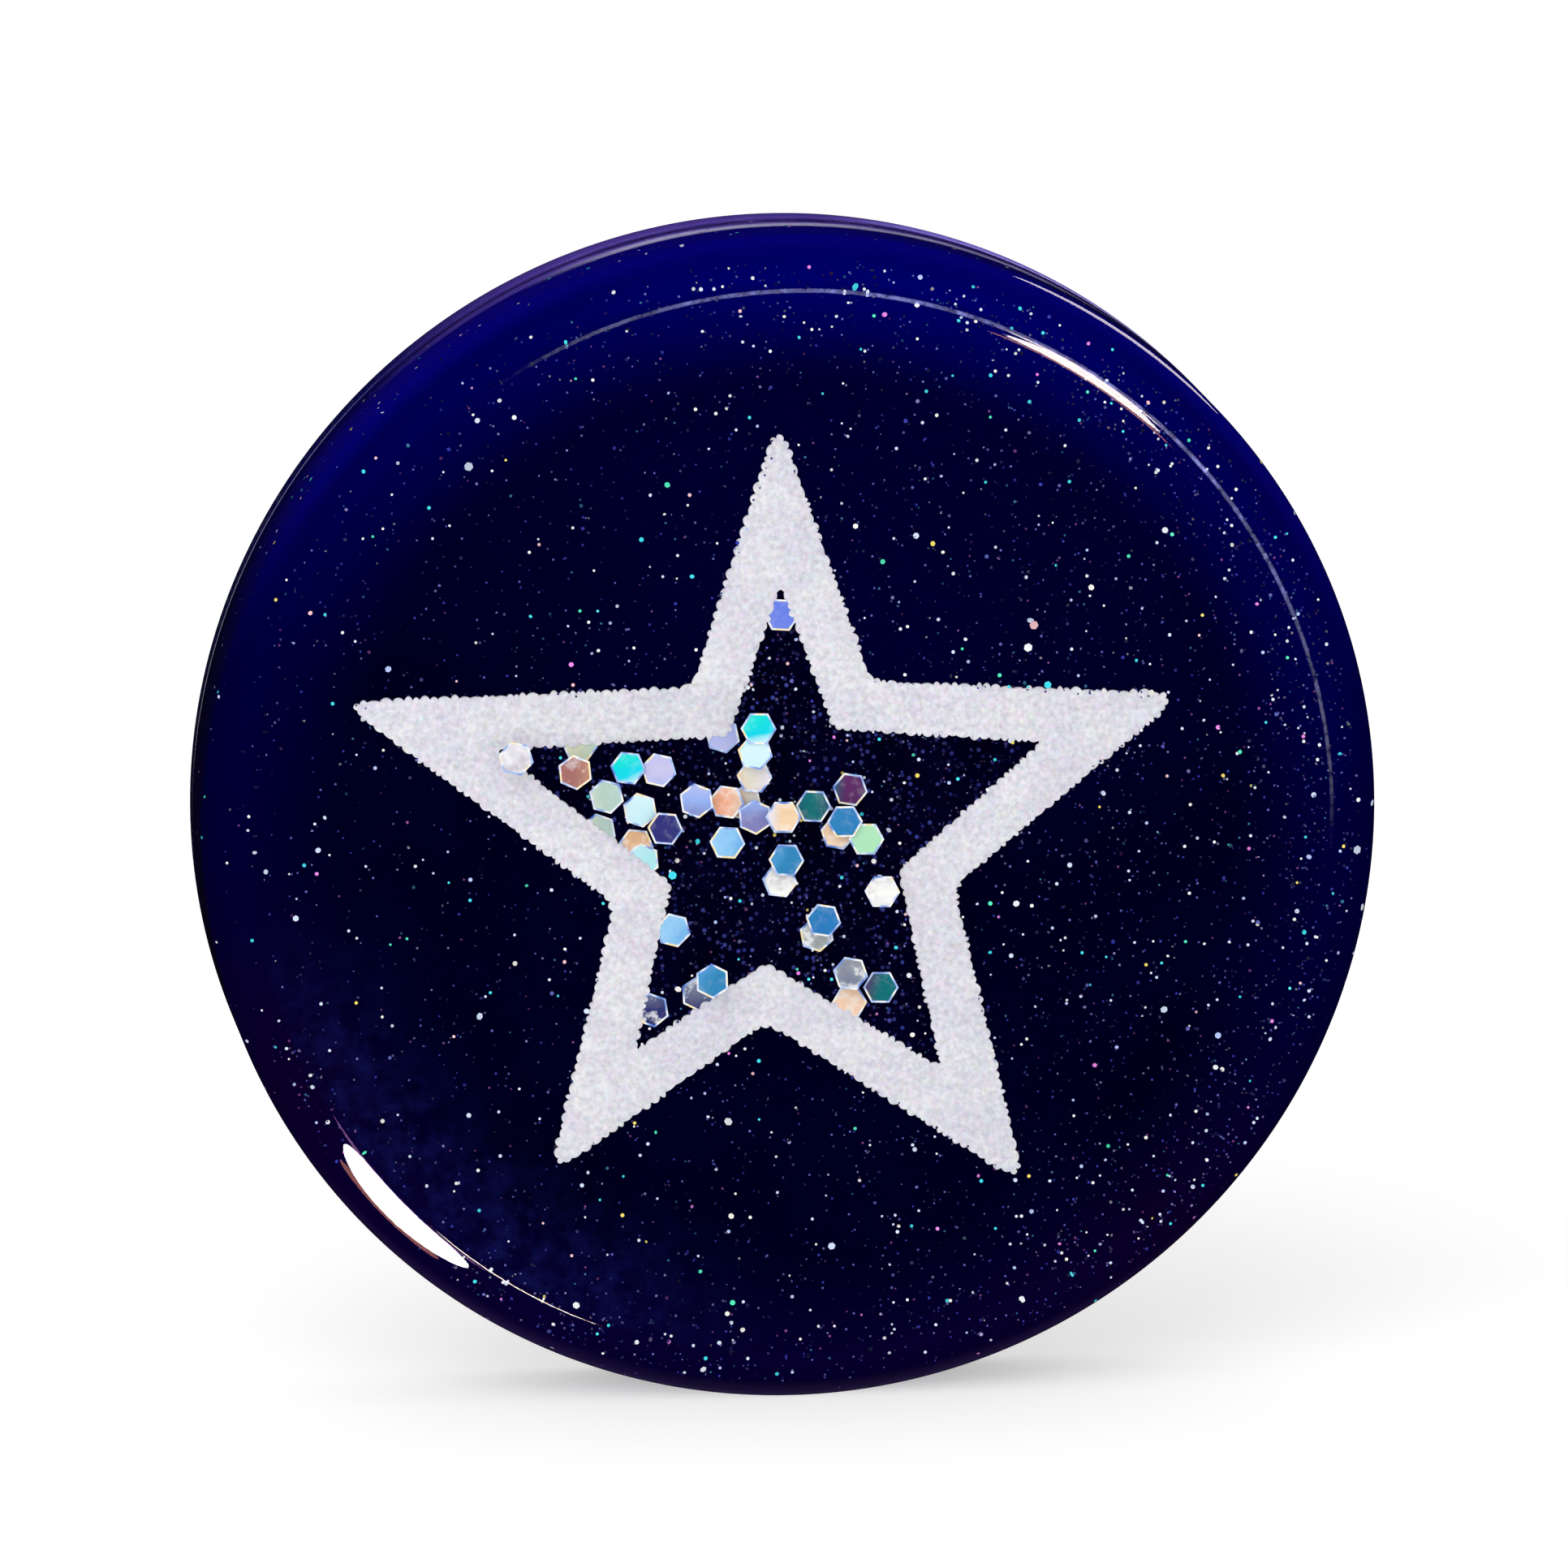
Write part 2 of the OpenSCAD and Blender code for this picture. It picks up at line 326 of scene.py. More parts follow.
def clear_resin():
    """Polished clear resin, with wipe marks, and a pale line round the face's ridge that is partly scuff and
    partly a painted highlight, strongest towards the upper right.
    """
    made, tree, shader = new_material("clear_resin", IOR=1.5)
    place = place_in_mm(tree)
    away, unit, depth = disc_place(tree)
    wipe = noise_of(tree, place_in_mm(tree, (0.6, 0.6, 1.6)), 0.5, 3)
    scuff = noise_of(tree, place, 3.2, 4, 0.7)
    off_ridge = maths(tree, "ABSOLUTE", maths(tree, "SUBTRACT", away, (FLAT_R - RIDGE_IN) / MM))
    ridge = spread(tree, off_ridge, 0.02, 0.085, 1.0, 0.0, "SMOOTHSTEP")
    front = spread(tree, depth, FRONT_Y / MM + 0.06, FRONT_Y / MM + 0.1, 1.0, 0.0)
    # Painted highlight: the pale line is kept to the upper right side of the ridge, where the light falls;
    # scuff noise breaks it up.
    worn = ease(tree, towards(tree, unit, 60), 0.42, 0.95)
    wisp = noise_of(tree, place, 0.9, 3, 0.6)
    worn = times(tree, worn, spread(tree, scuff, 0.38, 0.62, 0.1, 1.0))
    worn = times(tree, worn, spread(tree, wisp, 0.35, 0.6, 0.35, 1.0))
    worn = times(tree, ridge, front, worn, 0.75)
    # Where the line lies the resin is painted pale blue-white and lets no light through: partly scuff, partly
    # painted highlight.
    tint = mix(tree, spread(tree, worn, 0.0, 0.25), (0.97, 0.97, 1.0), (0.36, 0.38, 0.95))
    set_input(shader, "Base Color", tint)
    set_input(shader, "Transmission Weight", maths(tree, "SUBTRACT", 1.0, worn))
    set_input(shader, "Roughness", spread(tree, wipe, 0.35, 0.8, 0.01, 0.03))
    bump(shader, noise_of(tree, place, 0.3, 1), 0.003, 0.3)
    return made


def rim_blue(tree, unit):
    """The rim's deep blue, brightest on top and purple below, and how high the point is from 0 to 1. The blue
    is the resin's own; its brightening on top and darkening to purple below are painted light and shade.
    """
    upward = spread(tree, towards(tree, unit, 80), -1, 1)
    colour = ramp(tree, upward, [
        (0.0, (0.002, 0.0, 0.028)), (0.2, (0.003, 0.0, 0.019)), (0.42, (0.0, 0.0, 0.030)),
        (0.58, (0.0, 0.0, 0.040)), (0.78, (0.0, 0.0, 0.074)), (0.92, (0.0, 0.0, 0.092)),
        (1.0, (0.0, 0.0, 0.135))])
    return colour, upward


def navy_resin():
    """Deep blue round the rim, fading inwards to nearly black, with a milky patch at the lower left. The
    rim's blue is the resin's own colour, but its brightness, its fade inwards and the face's lighter top are
    painted light.
    """
    made, tree, shader = new_material(
        "navy_resin", Specular_IOR_Level=0.0, Roughness=0.6, Emission_Strength=1.0)
    away, unit, depth = disc_place(tree)
    band, upward = rim_blue(tree, unit)
    cloud = noise_of(tree, place_in_mm(tree), 0.16, 3)
    wisps = noise_of(tree, place_in_mm(tree), 1.1, 5, 0.7)
    face = mix(tree, spread(tree, cloud, 0.35, 0.7), (0.0, 0.0, 0.010), (0.0, 0.0, 0.017))
    # Painted light: the face is painted lighter towards the top.
    face = mix(tree, spread(tree, upward, 0.6, 1.0, 0.0, 0.6), face, (0.0, 0.0, 0.034))
    # Painted light: the rim's blue spreads inwards as a haze, standing for light that the resin gathers near
    # its edge.
    haze = spread(tree, away, 14.2, 17.5, 0.0, 0.8, "SMOOTHSTEP")
    low_left = ease(tree, towards(tree, unit, 228), 0.74, 1.0)
    outer = ease(tree, away, 12.5, 17.0)
    milky = times(tree, low_left, outer, spread(tree, wisps, 0.42, 0.68, 0.05, 1.0))
    face = mix(tree, haze, face, band)
    face = mix(tree, milky, face, (0.0045, 0.006, 0.07))
    by_edge = spread(tree, away, 17.35, 17.5)
    edge = maths(tree, "MAXIMUM", by_edge, spread(tree, depth, CORE_Y / MM + 0.02, CORE_Y / MM + 0.2))
    side, glow = near_seam(tree, unit, depth, band)
    set_input(shader, "Base Color", mix(tree, edge, face, side))
    # Painted glow: the side gives off light along the pale line on top, though it is no lamp.
    set_input(shader, "Emission Color", mix(tree, edge, (0.0, 0.0, 0.0), glow))
    return made


def near_seam(tree, unit, depth, band):
    """The side's blue, with painted light on its upper half: a brighter blue towards the back, going lilac
    over the last of its depth on top, past a pale uneven line that is a painted highlight.

    Also returns a painted glow along that line, standing for the light that the clear resin gathers there.
    """
    line = BASE_Y / MM - 0.9
    streak = noise_of(tree, place_in_mm(tree, (1, 3, 1)), 0.6, 4)
    on_top = ease(tree, towards(tree, unit, 88), 0.66, 0.97)
    # Painted light: on its upper half the side turns a brighter blue towards the back.
    upper = ease(tree, towards(tree, unit, 88), 0.2, 0.8)
    deep = times(tree, spread(tree, depth, CORE_Y / MM + 0.4, CORE_Y / MM + 1.6), upper)
    colour = mix(tree, deep, band, (0.003, 0.001, 0.25))
    # Painted light: on top, behind the line, the side is painted lilac, as if lit from above.
    lilac = mix(tree, spread(tree, streak, 0.3, 0.7), (0.13, 0.07, 0.66), (0.27, 0.16, 0.95))
    behind = times(tree, spread(tree, depth, line - 0.1, line + 0.1), on_top)
    colour = mix(tree, behind, colour, lilac)
    # Painted highlight: a pale uneven line on top of the side, brightest highest up.
    off_line = maths(tree, "ABSOLUTE", maths(tree, "SUBTRACT", depth, line))
    highlight_line = spread(tree, off_line, 0.12, 0.5, 1.0, 0.0, "SMOOTHSTEP")
    highest = ease(tree, towards(tree, unit, 84), 0.84, 0.98)
    highlight_line = times(tree, highlight_line, highest, spread(tree, streak, 0.3, 0.6, 0.6, 1.0))
    # Painted glow along the same line.
    glow = mix(tree, highlight_line, (0.0, 0.0, 0.0), (0.22, 0.20, 0.50))
    return mix(tree, highlight_line, colour, (0.86, 0.80, 1.0)), glow


def dark_resin():
    """The back pour: nearly black behind, the rim's blue at its side, and lilac there towards the top. The
    side's blue carries the rim's painted light; its lilac on top and paler lilac at the upper right are
    painted light.
    """
    made, tree, shader = new_material("dark_resin", IOR=1.5, Coat_Weight=0.4, Coat_Roughness=0.06)
    place = place_in_mm(tree)
    away, unit, _ = disc_place(tree)
    band, _ = rim_blue(tree, unit)
    cloud = noise_of(tree, place, 0.3, 4, 0.6)
    behind = mix(tree, spread(tree, cloud, 0.3, 0.7), (0.002, 0.0012, 0.016), (0.006, 0.003, 0.034))
    # Painted light: the side is painted lilac towards the top, where light falls from above.
    high = ease(tree, towards(tree, unit, 88), 0.68, 0.99)
    side = mix(tree, high, band, (0.075, 0.04, 0.30))
    # Painted highlight: a paler lilac at the upper right of the side.
    right = ease(tree, towards(tree, unit, 58), 0.88, 0.99)
    side = mix(tree, right, side, (0.26, 0.19, 0.78))
    outside = spread(tree, away, (RADIUS - BACK_EDGE_R) / MM, RADIUS / MM - 0.05)
    set_input(shader, "Base Color", mix(tree, outside, behind, side))
    scratch = noise_of(tree, place_in_mm(tree, (0.35, 1, 9)), 1.0, 5, 0.6)
    set_input(shader, "Roughness", spread(tree, scratch, 0.3, 0.75, 0.12, 0.34))
    ripple = noise_of(tree, place, 0.22, 2)
    height = maths(tree, "ADD", times(tree, ripple, 4.0), scratch)
    bump(shader, height, 0.02, 0.5)
    return made


def frosted_white():
    """White glitter paint, grainy and faintly pearly."""
    made, tree, shader = new_material("white_glitter", IOR=1.45, Specular_IOR_Level=0.3)
    place = place_in_mm(tree)
    grain = noise_of(tree, place, 5.5, 3, 0.7)
    patches = noise_of(tree, place, 0.8, 2)
    cells = add(tree, "TexVoronoi", {"Vector": place, "Scale": 7.0}).outputs["Color"]
    tint = mix(tree, spread(tree, patches, 0.35, 0.65), (0.74, 0.725, 0.80), (0.80, 0.79, 0.82))
    pearl = mix(tree, 0.2, tint, cells, "SOFT_LIGHT")
    shade = ramp(tree, grain, [(0.3, (0.78, 0.78, 0.80)), (0.65, (1.1, 1.1, 1.1))])
    set_input(shader, "Base Color", mix(tree, 1.0, pearl, shade, "MULTIPLY"))
    set_input(shader, "Roughness", spread(tree, grain, 0.3, 0.8, 0.75, 0.35))
    bump(shader, grain, 0.03, 0.6)
    return made


def fill_resin():
    """Nearly black resin with dim specks of sunken glitter, in loose clumps."""
    made, tree, shader = new_material("fill_resin", Specular_IOR_Level=0.0, Roughness=0.6)
    place = place_in_mm(tree)
    dust = add(tree, "TexVoronoi", {"Vector": place, "Scale": 4.5, "Randomness": 1.0})
    size = spread(tree, dust.outputs["Distance"], 0.15, 0.42, 1.0, 0.0, "SMOOTHSTEP")
    pick = add(tree, "SeparateColor", {"Color": dust.outputs["Color"]}).outputs
    chosen = spread(tree, pick["Red"], 0.4, 1.0, 0.0, 0.8)
    tint = ramp(tree, pick["Green"], [
        (0.0, (0.03, 0.04, 0.40)), (0.4, (0.08, 0.10, 0.48)), (0.75, (0.12, 0.07, 0.34)),
        (1.0, (0.04, 0.16, 0.36))])
    cloud = noise_of(tree, place, 0.5, 3)
    ground = mix(tree, spread(tree, cloud, 0.3, 0.7), (0.0004, 0.0, 0.006), (0.001, 0.0002, 0.014))
    clump = spread(tree, noise_of(tree, place, 1.4, 2), 0.38, 0.62, 0.3, 1.0)
    lit = times(tree, size, chosen, clump)
    set_input(shader, "Base Color", mix(tree, lit, ground, tint))
    return made


# ---- Sequin and flake materials ----

def sequin_film(name, along, stops, highlight_and_shade):
    """Iridescent film. Its colour runs along a direction (x, z) of the star, and shifts with the view.

    Each stop is a place along that direction in mm, and the colour there. The last argument sets how
    strongly white painted highlights and dark painted shade lie on it in patches.
    """
    made, tree, shader = new_material(name, IOR=1.5, Specular_IOR_Level=0.15)
    place = place_in_mm(tree)
    run = dot(tree, place, (along[0], 0, along[1]))
    drift = noise_of(tree, place, 1.1, 2)
    run = maths(tree, "ADD", run, spread(tree, drift, 0.3, 0.7, -0.12, 0.12))
    lowest, highest = stops[0][0], stops[-1][0]
    placed = [((at - lowest) / (highest - lowest), colour) for at, colour in stops]
    film = ramp(tree, spread(tree, run, lowest, highest), placed)
    facing = add(tree, "LayerWeight", {"Blend": 0.3}).outputs["Facing"]
    turned = mix(tree, facing, film, (0.75, 0.45, 0.85), "SCREEN")
    film = mix(tree, spread(tree, facing, 0.25, 0.8), film, turned)
    # Painted highlights and painted shade: white and dark patches laid by noise on the flat film.
    highlight_shade_noise = noise_of(tree, place, 2.6, 3, 0.6)
    film = mix(tree, spread(tree, highlight_shade_noise, 0.52, 0.64, 0.0, highlight_and_shade), film, (1.0, 1.0, 1.0))
    film = mix(tree, spread(tree, highlight_shade_noise, 0.32, 0.45, highlight_and_shade * 0.4, 0.0), film, (0.20, 0.12, 0.22))
    set_input(shader, "Base Color", film)
    set_input(shader, "Roughness", spread(tree, drift, 0.3, 0.7, 0.25, 0.4))
    return made


def sequin_rim():
    """The cut edge of a sequin, painted brighter than its face, with painted glints of white and gold along
    it for the light that the edge catches.
    """
    made, tree, shader = new_material("sequin_rim", IOR=1.5)
    glint = noise_of(tree, place_in_mm(tree), 2.2, 1)
    set_input(shader, "Base Color", ramp(tree, glint, [
        (0.3, (0.10, 0.22, 0.70)), (0.44, (0.45, 0.60, 0.95)), (0.56, (1.0, 1.0, 1.0)),
        (0.68, (1.0, 0.82, 0.45))]))
    set_input(shader, "Roughness", spread(tree, glint, 0.3, 0.7, 0.2, 0.4))
    return made


def flake_film(name, stops, dimmest, brightest, curve=1.0):
    """Flakes of several colours and brightnesses, picked by flake. A high curve makes most of them dim."""
    made, tree, shader = new_material(name, IOR=1.5, Specular_IOR_Level=0.5, Roughness=0.3)
    island = add(tree, "NewGeometry").outputs["Random Per Island"]
    colour = ramp(tree, island, stops, "CONSTANT")
    again = maths(tree, "FRACT", times(tree, island, 97.0))
    bright = spread(tree, maths(tree, "POWER", again, curve), 0, 1, dimmest, brightest)
    set_input(shader, "Base Color", mix(tree, bright, (0.0, 0.0, 0.01), colour))
    return made


# ---- Metal and epoxy materials ----

def worn_metal(name, bright, dull, low, high, stretch):
    """Plated metal with fine drawing lines along one axis, and a little tarnish in patches.

    Its roughness runs from low to high, and the lines run along the axis of the smallest stretch.
    """
    made, tree, shader = new_material(name, Metallic=1.0)
    lines = noise_of(tree, place_in_mm(tree, stretch), 4.0, 5, 0.65)
    patch = noise_of(tree, place_in_mm(tree), 0.55, 4, 0.6)
    metal = mix(tree, spread(tree, lines, 0.3, 0.7), dull, bright)
    spots = spread(tree, patch, 0.6, 0.75, 0.0, 0.45)
    set_input(shader, "Base Color", mix(tree, spots, metal, (0.30, 0.24, 0.17)))
    rough = spread(tree, lines, 0.3, 0.7, low, high)
    set_input(shader, "Roughness", maths(tree, "ADD", rough, times(tree, spots, 0.35)))
    bump(shader, lines, 0.012, 0.5)
    return made


def epoxy():
    """Yellowed epoxy, cloudy and pitted with small bubbles."""
    made, tree, shader = new_material(
        "epoxy", IOR=1.52, Subsurface_Weight=0.25, Subsurface_Scale=0.4 * MM, Coat_Weight=0.5,
        Coat_Roughness=0.05)
    place = place_in_mm(tree)
    cloud = noise_of(tree, place, 0.7, 4, 0.6)
    colour = ramp(tree, cloud, [(0.3, (0.34, 0.24, 0.10)), (0.7, (0.62, 0.50, 0.27))])
    bubble = add(tree, "TexVoronoi", {"Vector": place, "Scale": 2.4}).outputs["Distance"]
    pits = spread(tree, bubble, 0.05, 0.14, 1.0, 0.0, "SMOOTHSTEP")
    colour = mix(tree, times(tree, pits, 0.5), colour, (0.8, 0.74, 0.58))
    set_input(shader, "Base Color", colour)
    set_input(shader, "Roughness", spread(tree, cloud, 0.3, 0.7, 0.12, 0.3))
    bump(shader, maths(tree, "ADD", cloud, pits), 0.04, 0.5)
    return made


# ---- Resin pieces ----

def lip(r, y, side):
    """A small round at the rim of a seam. Side is -1 where the piece lies in front of it."""
    if side < 0:
        return arc(r - LIP_R, y - LIP_R, LIP_R, 0, 90, 3)
    return arc(r - LIP_R, y + LIP_R, LIP_R, -90, 0, 3)


def front_profile():
    """From the middle of the face to the wall: a faint ridge, then a crease where the shoulder starts."""
    dip, width, steps = 0.07 * MM, 0.5 * MM, 8
    turns = [math.pi / 2 * i / steps for i in range(steps + 1)]
    ridge = [
        (FLAT_R - RIDGE_IN - width * (1 - t * 2 / math.pi), FRONT_Y + dip * math.cos(t))
        for t in turns
    ]
    bend = arc(0, 1, 1, -75, 0, 28)  # it would start at -90 if there were no crease
    r0, y0 = bend[0]
    shoulder = [
        (FLAT_R + SHOULDER_R * (r - r0) / (1 - r0), FRONT_Y + SHOULDER_R * (y - y0) / (1 - y0))
        for r, y in bend
    ]
    flat = [(r, FRONT_Y + dip) for r in (0, FLAT_R * 0.5, FLAT_R - 0.8 * MM)]
    return [*flat, *ridge, *shoulder]


def make_shell():
    """The clear outside of the casting: flat front, round shoulder and straight wall."""
    profile = [*front_profile(), *lip(RADIUS, BASE_Y - SEAM, -1), (CORE_R, BASE_Y - SEAM), (0, BASE_Y - SEAM)]
    shell = revolve("clear_shell", profile, [clear_resin()])
    shell.visible_shadow = False
    shell.visible_diffuse = False
    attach(shell, "badge")
    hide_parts("face_coat")
    return shell


def make_core():
    """The opaque blue inside, seen through the clear outside."""
    gap = 0.1 * MM
    edge = arc(CORE_R - CORE_GAP, CORE_Y + CORE_GAP, CORE_GAP, -90, 0, 12)
    profile = [(0, CORE_Y), (FLAT_R * 0.5, CORE_Y), *edge, (CORE_R, BASE_Y - gap), (0, BASE_Y - gap)]
    core = revolve("blue_core", profile, [navy_resin()])
    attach(core, "badge")
    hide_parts("navy_casting")


def make_base():
    """The dark pour at the back, with a slightly raised rim where the resin climbed its mould."""
    rim = arc(RADIUS - BACK_EDGE_R, BACK_Y - BACK_EDGE_R, BACK_EDGE_R, 0, 90, 8)
    dish = 0.06 * MM
    profile = [
        (0, BASE_Y),
        (CORE_R, BASE_Y),
        *lip(RADIUS, BASE_Y, 1),
        *rim,
        (RADIUS - 0.9 * MM, BACK_Y - 0.02 * MM),
        (RADIUS - 1.6 * MM, BACK_Y - dish),
        (0, BACK_Y - dish),
    ]
    base = revolve("dark_back", profile, [dark_resin()])
    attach(base, "badge")
    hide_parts("dark_base")
    return base


# ---- Star ----

def rounded(loop, cut, blunt=0.0, steps=6):
    """An outline with each corner replaced by a short curve.

    Blunt pushes the outward points further out and cuts them more.
    """
    made = []
    for before, here, after in zip(loop[-1:] + loop[:-1], loop, loop[1:] + loop[:1]):
        back, on = (before - here).normalized(), (after - here).normalized()
        if blunt and back.cross(on) < 0:
            here = here - (back + on).normalized() * blunt
            length = 2.1 * blunt
        else:
            length = cut
        start, end = here + back * length, here + on * length
        for i in range(steps + 1):
            t = i / steps
            made.append(start * (1 - t) ** 2 + here * 2 * t * (1 - t) + end * t ** 2)
    return made


def scalloped(loop, side, rng, pitch=0.29 * MM, height=0.11 * MM, per_bump=7):
    """An outline with small uneven bumps. Side is 1 for bumps outwards and -1 for inwards."""
    lengths = [(b - a).length for a, b in zip(loop, loop[1:] + loop[:1])]
    total = sum(lengths)
    bumps = []
    while sum(bumps) < total:
        bumps.append(pitch * rng.uniform(0.55, 1.5))
    bumps = [b * total / sum(bumps) for b in bumps]
    made = []
    edge, passed, at = 0, 0.0, 0.0
    for width in bumps:
        tall = height * rng.uniform(0.3, 1.3)
        for i in range(per_bump):
            t = i / per_bump
            along = at + width * t
            while edge < len(loop) - 1 and passed + lengths[edge] < along:
                passed += lengths[edge]
                edge += 1
            a, b = loop[edge], loop[(edge + 1) % len(loop)]
            direction = (b - a).normalized()
            outward = Vector((direction.y, -direction.x))
            lift = tall * math.sin(math.pi * t) ** 0.8 - height * 0.45
            made.append(a + direction * (along - passed) + outward * lift * side)
        at += width
    return made


def flat_piece(name, loops, y0, y1, round_r, materials):
    """A plate filled between closed (x, z) outlines, from y0 to y1, with rounded rims."""
    curve = bpy.data.curves.new(name, "CURVE")
    curve.dimensions = "2D"
    curve.fill_mode = "BOTH"
    curve.extrude = (y1 - y0) / 2 - round_r
    curve.bevel_depth = round_r
    curve.bevel_resolution = 1
    curve.offset = -round_r
    for loop in loops:
        spline = curve.splines.new("POLY")
        spline.points.add(len(loop) - 1)
        for point, place in zip(spline.points, loop):
            point.co = (place.x, place.y, 0, 1)
        spline.use_cyclic_u = True
    drawn = new_object(name, curve)
    bpy.context.view_layer.update()
    mesh = bpy.data.meshes.new_from_object(drawn.evaluated_get(bpy.context.evaluated_depsgraph_get()))
    bpy.data.objects.remove(drawn)
    mesh.transform(Matrix.Translation((0, (y0 + y1) / 2, 0)) @ Matrix.Rotation(math.radians(90), 4, "X"))
    return from_bmesh(name, welded(mesh), materials)


def make_star():
    """The white outline and the dark bed inside it. Returns the CAD outline's two loops."""
    rng = random.Random(11)
    outer, inner = front_loops("star_outline")
    outline = [
        scalloped(rounded(outer, 0.5 * MM, 0.5 * MM), 1, rng),
        scalloped(rounded(inner, 0.25 * MM), -1, rng),
    ]
    low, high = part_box("star_outline")
    star = flat_piece("white_star", outline, low.y - OUTLINE_PROUD, high.y, 0.03 * MM, [frosted_white()])
    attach(star, "badge")
    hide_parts("star_outline")
    fill_low, fill_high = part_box("star_fill")
    bed_loop = rounded(inner, 0.2 * MM)
    bed = flat_piece("star_bed", [bed_loop], fill_low.y + 0.02 * MM, fill_high.y, 0.01 * MM, [fill_resin()])
    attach(bed, "badge")
    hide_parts("star_fill")
    return outer, inner


# ---- Sequins and flakes ----

def add_hexagon(made, centre, radius, thick, turn, rim=0.0, recess=0.0):
    """Adds one closed hexagonal plate. Turn is a matrix; the plate faces -Y before it."""
    def ring(r, y):
        corners = [math.radians(60 * i) for i in range(6)]
        places = [Vector((r * math.cos(t), y, r * math.sin(t))) for t in corners]
        return [made.verts.new(centre + turn @ place) for place in places]

    front = ring(radius, -thick / 2)
    back = ring(radius, thick / 2)
    for i in range(6):
        side = made.faces.new((front[i], front[i - 1], back[i - 1], back[i]))
        side.material_index = 1 if rim else 0
    made.faces.new(back)
    if rim:
        middle = ring(radius - rim, -thick / 2 + recess)
        for i in range(6):
            made.faces.new((middle[i], middle[i - 1], front[i - 1], front[i])).material_index = 1
        front = middle
    made.faces.new(front)


def leaning(x_degrees, z_degrees):
    """A lean about X and about Z."""
    about_x = Matrix.Rotation(math.radians(x_degrees), 3, "X")
    return about_x @ Matrix.Rotation(math.radians(z_degrees), 3, "Z")


def reach_under(centre, inner, radius=0.5 * MM):
    """How much of a sequin's edge lies under the star's outline, from 0 to 1."""
    under = 0
    for i in range(24):
        way = math.radians(15 * i)
        if not inside(inner, centre.x + radius * math.cos(way), centre.z + radius * math.sin(way)):
            under += 1
    return under / 24


def tucked_y(y):
    """The depth of a sequin that lies flat on the star's bed, behind the outline's front face.

    The sequins keep the order in depth that the CAD model gives them.
    """
    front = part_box("star_outline")[0].y
    return front - 0.01 * MM + 0.08 * (y - front)


def make_sequins(name, node, film, rim, rng, inner):
    """One group of sequins, each where the CAD model puts it, with a slight lean of its own.

    Those that reach under the star's outline lie flat on the bed, so that the outline hides that part.
    The one that lies in the tip of the left arm stays in front. Returns the centres of the flat ones.
    """
    made = bmesh.new()
    tucked = []
    for solid in islands(node):
        centre = sum(solid, Vector()) / len(solid)
        reach = [Vector((p.x - centre.x, 0, p.z - centre.z)) for p in solid]
        corner = max(reach, key=lambda p: p.length)
        thick = max(p.y for p in solid) - min(p.y for p in solid)
        turn = Matrix.Rotation(-math.atan2(corner.z, corner.x), 3, "Y")
        lean = leaning(rng.uniform(-1.6, 1.6), rng.uniform(-1.6, 1.6))
        recess = 0.008 * MM
        if LEAST_UNDER < reach_under(centre, inner) < MOST_UNDER:
            centre.y = tucked_y(centre.y)
            tucked.append(centre)
            lean = Matrix.Identity(3)
            thick = 0.006 * MM
            recess = 0.002 * MM
        add_hexagon(made, centre, corner.length, thick, lean @ turn, 0.07 * MM, recess)
    piece = from_bmesh(name, made, [film, rim], 3)
    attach(piece, "badge")
    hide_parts(node)
    return tucked


